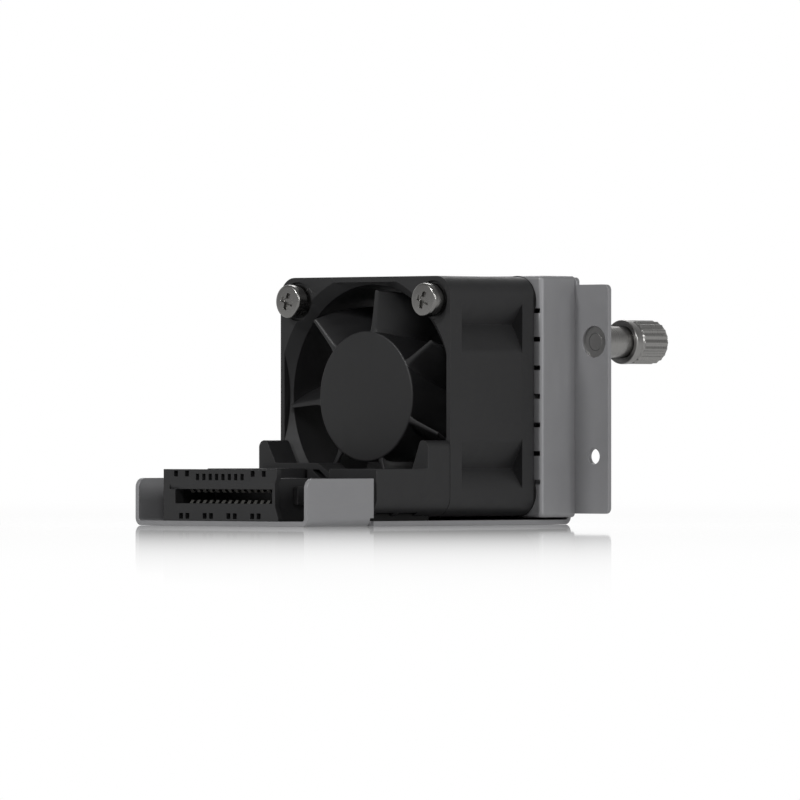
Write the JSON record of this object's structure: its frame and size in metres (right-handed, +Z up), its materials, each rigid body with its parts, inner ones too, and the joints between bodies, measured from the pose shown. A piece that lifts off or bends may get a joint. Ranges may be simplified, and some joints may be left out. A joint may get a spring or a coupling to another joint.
{
  "type": "hot swap fan module",
  "caption": "Plug-in axial fan module: square fan on a bent sheet-metal tray with a card edge connector, a vented outlet and a captive thumbscrew on its ear.",
  "frame": {"origin": "on the tray's underside, below the centre of the fan's inlet face", "axes": "+X along the air flow, from the connector to the vented end plate; +Y away from the thumbscrew ear; +Z up, from the tray to the top of the fan"},
  "size_m": [0.0775, 0.053, 0.042],
  "materials": {
    "tray_sheet": "dull rolled sheet steel, satin",
    "vent_sheet": "dull rolled sheet steel, satin",
    "fan_plastic": "dark grey moulded plastic, fine texture",
    "impeller_plastic": "dark grey moulded plastic, satin",
    "yoke_steel": "drawn steel cup",
    "magnet_ferrite": "dark bonded ferrite",
    "shaft_steel": "ground steel",
    "tube_brass": "turned brass",
    "bearing_steel": "ground bearing steel",
    "core_steel": "stacked laminations",
    "bobbin_plastic": "natural moulded plastic",
    "coil_copper": "enamelled copper wire",
    "board_laminate": "green glass laminate",
    "chip_plastic": "black moulded package",
    "carrier_plastic": "black moulded plastic",
    "connector_plastic": "black moulded plastic, satin",
    "contact_gold": "gold plated",
    "screw_nickel": "bright nickel plate",
    "isolator_rubber": "black soft rubber",
    "rivet_steel": "zinc plated",
    "base_screw_zinc": "zinc plated",
    "sleeve_nickel": "bright nickel plate",
    "knob_nickel": "bright nickel plate, straight knurl",
    "spring_steel": "drawn spring wire"
  },
  "bodies": {
    "module": {"base_screw_1": "base_screw_zinc", "base_screw_2": "base_screw_zinc", "bearing_spacer": "bearing_steel", "bearing_tube": "tube_brass", "carrier": "carrier_plastic", "coil_1": "coil_copper", "coil_2": "coil_copper", "coil_3": "coil_copper", "coil_4": "coil_copper", "connector_housing": "connector_plastic", "contacts_lower": "contact_gold", "contacts_upper": "contact_gold", "drive_chip": "chip_plastic", "fan_frame": "fan_plastic", "fan_nut_1": "screw_nickel", "fan_nut_2": "screw_nickel", "fan_screw_1": "screw_nickel", "fan_screw_2": "screw_nickel", "front_bearing": "bearing_steel", "front_bobbin": "bobbin_plastic", "hall_sensor": "chip_plastic", "isolator_1": "isolator_rubber", "isolator_2": "isolator_rubber", "isolator_3": "isolator_rubber", "isolator_4": "isolator_rubber", "motor_board": "board_laminate", "rear_bearing": "bearing_steel", "rear_bobbin": "bobbin_plastic", "rivet_1": "rivet_steel", "rivet_2": "rivet_steel", "rivet_3": "rivet_steel", "rivet_4": "rivet_steel", "screw_sleeve": "sleeve_nickel", "stator_core": "core_steel", "thumb_spring": "spring_steel", "tray": "tray_sheet", "vent_frame": "vent_sheet"},
    "rotor": {"impeller": "impeller_plastic", "rotor_yoke": "yoke_steel", "magnet_ring": "magnet_ferrite", "rotor_shaft": "shaft_steel", "retaining_clip": "shaft_steel"},
    "thumb_slider": {"knob_ring": "sleeve_nickel"},
    "thumb": {"thumb_knob": "knob_nickel", "captive_screw": "knob_nickel"}
  },
  "joints": [
    {"name": "rotor_spin", "type": "hinge", "parent": "module", "child": "rotor", "pos_m": [0, 0, 0.02145], "axis": [1, 0, 0], "continuous": true},
    {"name": "thumb_press", "type": "slide", "parent": "module", "child": "thumb_slider", "axis": [-1, 0, 0], "range_m": [0, 0.0052], "stiffness_N_per_m": 150, "springref_m": -0.004, "deforming": ["thumb_spring"]},
    {"name": "thumb_spin", "type": "hinge", "parent": "thumb_slider", "child": "thumb", "pos_m": [0.04, -0.0257, 0.0306], "axis": [1, 0, 0], "continuous": true}
  ]
}
